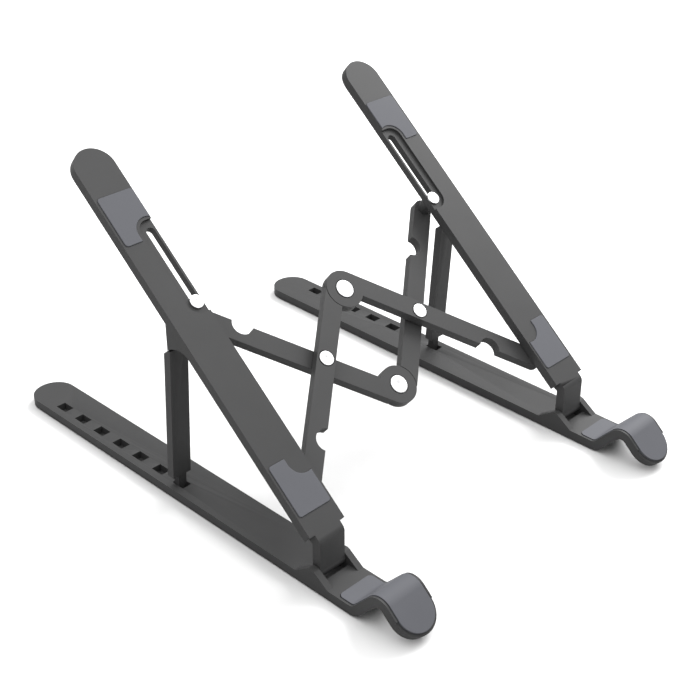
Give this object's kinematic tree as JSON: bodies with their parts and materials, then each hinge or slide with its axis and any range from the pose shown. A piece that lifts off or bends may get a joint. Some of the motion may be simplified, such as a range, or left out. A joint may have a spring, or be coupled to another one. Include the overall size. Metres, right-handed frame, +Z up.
{
  "type": "laptop stand",
  "caption": "Folding laptop stand: two sloping arms on flat rails with hooked front lips, joined by a riveted scissor linkage and propped from notched rails.",
  "frame": {"origin": "on the floor under the middle of the stand's bounding box, on the middle plane between the two sides", "axes": "+X to the right across the stand, +Y from the lips to the back, along the rails, +Z up"},
  "size_m": [0.1954, 0.2755, 0.1573],
  "materials": {
    "body": "matt, fine-textured",
    "silicone": "matt silicone",
    "rubber_foot": "matt rubber",
    "rivet": "bright plated, turned face",
    "pin": "ground"
  },
  "bodies": {
    "left_rail": {"left_rail": "body", "left_lip_pad": "silicone", "left_front_foot": "rubber_foot", "left_rear_foot": "rubber_foot", "left_hinge_pin": "pin"},
    "left_arm": {"left_arm": "body", "left_upper_pad": "silicone", "left_lower_pad": "silicone", "left_pivot_rivet": "rivet", "left_prop_pin": "pin"},
    "left_prop": {"left_prop": "body"},
    "left_pivot_link": {"left_pivot_link": "body", "left_cross_rivet": "rivet"},
    "left_slot_link": {"left_slot_link": "body", "left_slot_rivet": "rivet", "front_centre_rivet": "rivet"},
    "right_rail": {"right_rail": "body", "right_lip_pad": "silicone", "right_front_foot": "rubber_foot", "right_rear_foot": "rubber_foot", "right_hinge_pin": "pin"},
    "right_arm": {"right_arm": "body", "right_upper_pad": "silicone", "right_lower_pad": "silicone", "right_pivot_rivet": "rivet", "right_prop_pin": "pin"},
    "right_prop": {"right_prop": "body"},
    "right_pivot_link": {"right_pivot_link": "body", "right_cross_rivet": "rivet", "rear_centre_rivet": "rivet"},
    "right_slot_link": {"right_slot_link": "body", "right_slot_rivet": "rivet"}
  },
  "joints": [
    {"name": "left_tilt", "type": "hinge", "parent": "left_rail", "child": "left_arm", "pos_m": [-0.08659, -0.0795, 0.0075], "axis": [1, 0, 0], "range_deg": [0, 50]},
    {"name": "left_prop_swing", "type": "hinge", "parent": "left_arm", "child": "left_prop", "pos_m": [-0.08659, 0.00766, 0.08858], "axis": [1, 0, 0], "range_deg": [-50, 0]},
    {"name": "spread", "type": "hinge", "parent": "left_arm", "child": "left_pivot_link", "pos_m": [-0.07949, -0.05977, 0.03297], "axis": [0, -0.6446, 0.7645], "range_deg": [0, 43.5]},
    {"name": "left_cross", "type": "hinge", "parent": "left_pivot_link", "child": "left_slot_link", "pos_m": [-0.03239, -0.0209, 0.06253], "axis": [0, -0.6446, 0.7645], "range_deg": [-87, 0]},
    {"name": "rear_centre", "type": "hinge", "parent": "left_pivot_link", "child": "right_pivot_link", "pos_m": [0, -0.0024, 0.08134], "axis": [0, -0.6446, 0.7645], "range_deg": [-87, 0]},
    {"name": "right_cross", "type": "hinge", "parent": "right_pivot_link", "child": "right_slot_link", "pos_m": [0.03239, -0.0209, 0.06253], "axis": [0, -0.6446, 0.7645], "range_deg": [0, 87]},
    {"name": "right_pivot", "type": "hinge", "parent": "right_pivot_link", "child": "right_arm", "pos_m": [0.07949, -0.05977, 0.03297], "axis": [0, -0.6446, 0.7645], "range_deg": [0, 43.5]},
    {"name": "right_tilt", "type": "hinge", "parent": "right_arm", "child": "right_rail", "pos_m": [0.08659, -0.0795, 0.0075], "axis": [1, 0, 0], "range_deg": [-50, 0]},
    {"name": "right_prop_swing", "type": "hinge", "parent": "right_arm", "child": "right_prop", "pos_m": [0.08659, 0.00766, 0.08858], "axis": [1, 0, 0], "range_deg": [-50, 0]}
  ],
  "couplings": [
    {"joint": "left_prop_swing", "follows": "left_tilt", "ratio": -1},
    {"joint": "right_tilt", "follows": "left_tilt", "ratio": -1},
    {"joint": "right_prop_swing", "follows": "left_tilt", "ratio": -1},
    {"joint": "left_cross", "follows": "spread", "ratio": -2},
    {"joint": "rear_centre", "follows": "spread", "ratio": -2},
    {"joint": "right_cross", "follows": "spread", "ratio": 2},
    {"joint": "right_pivot", "follows": "spread", "ratio": 1}
  ]
}
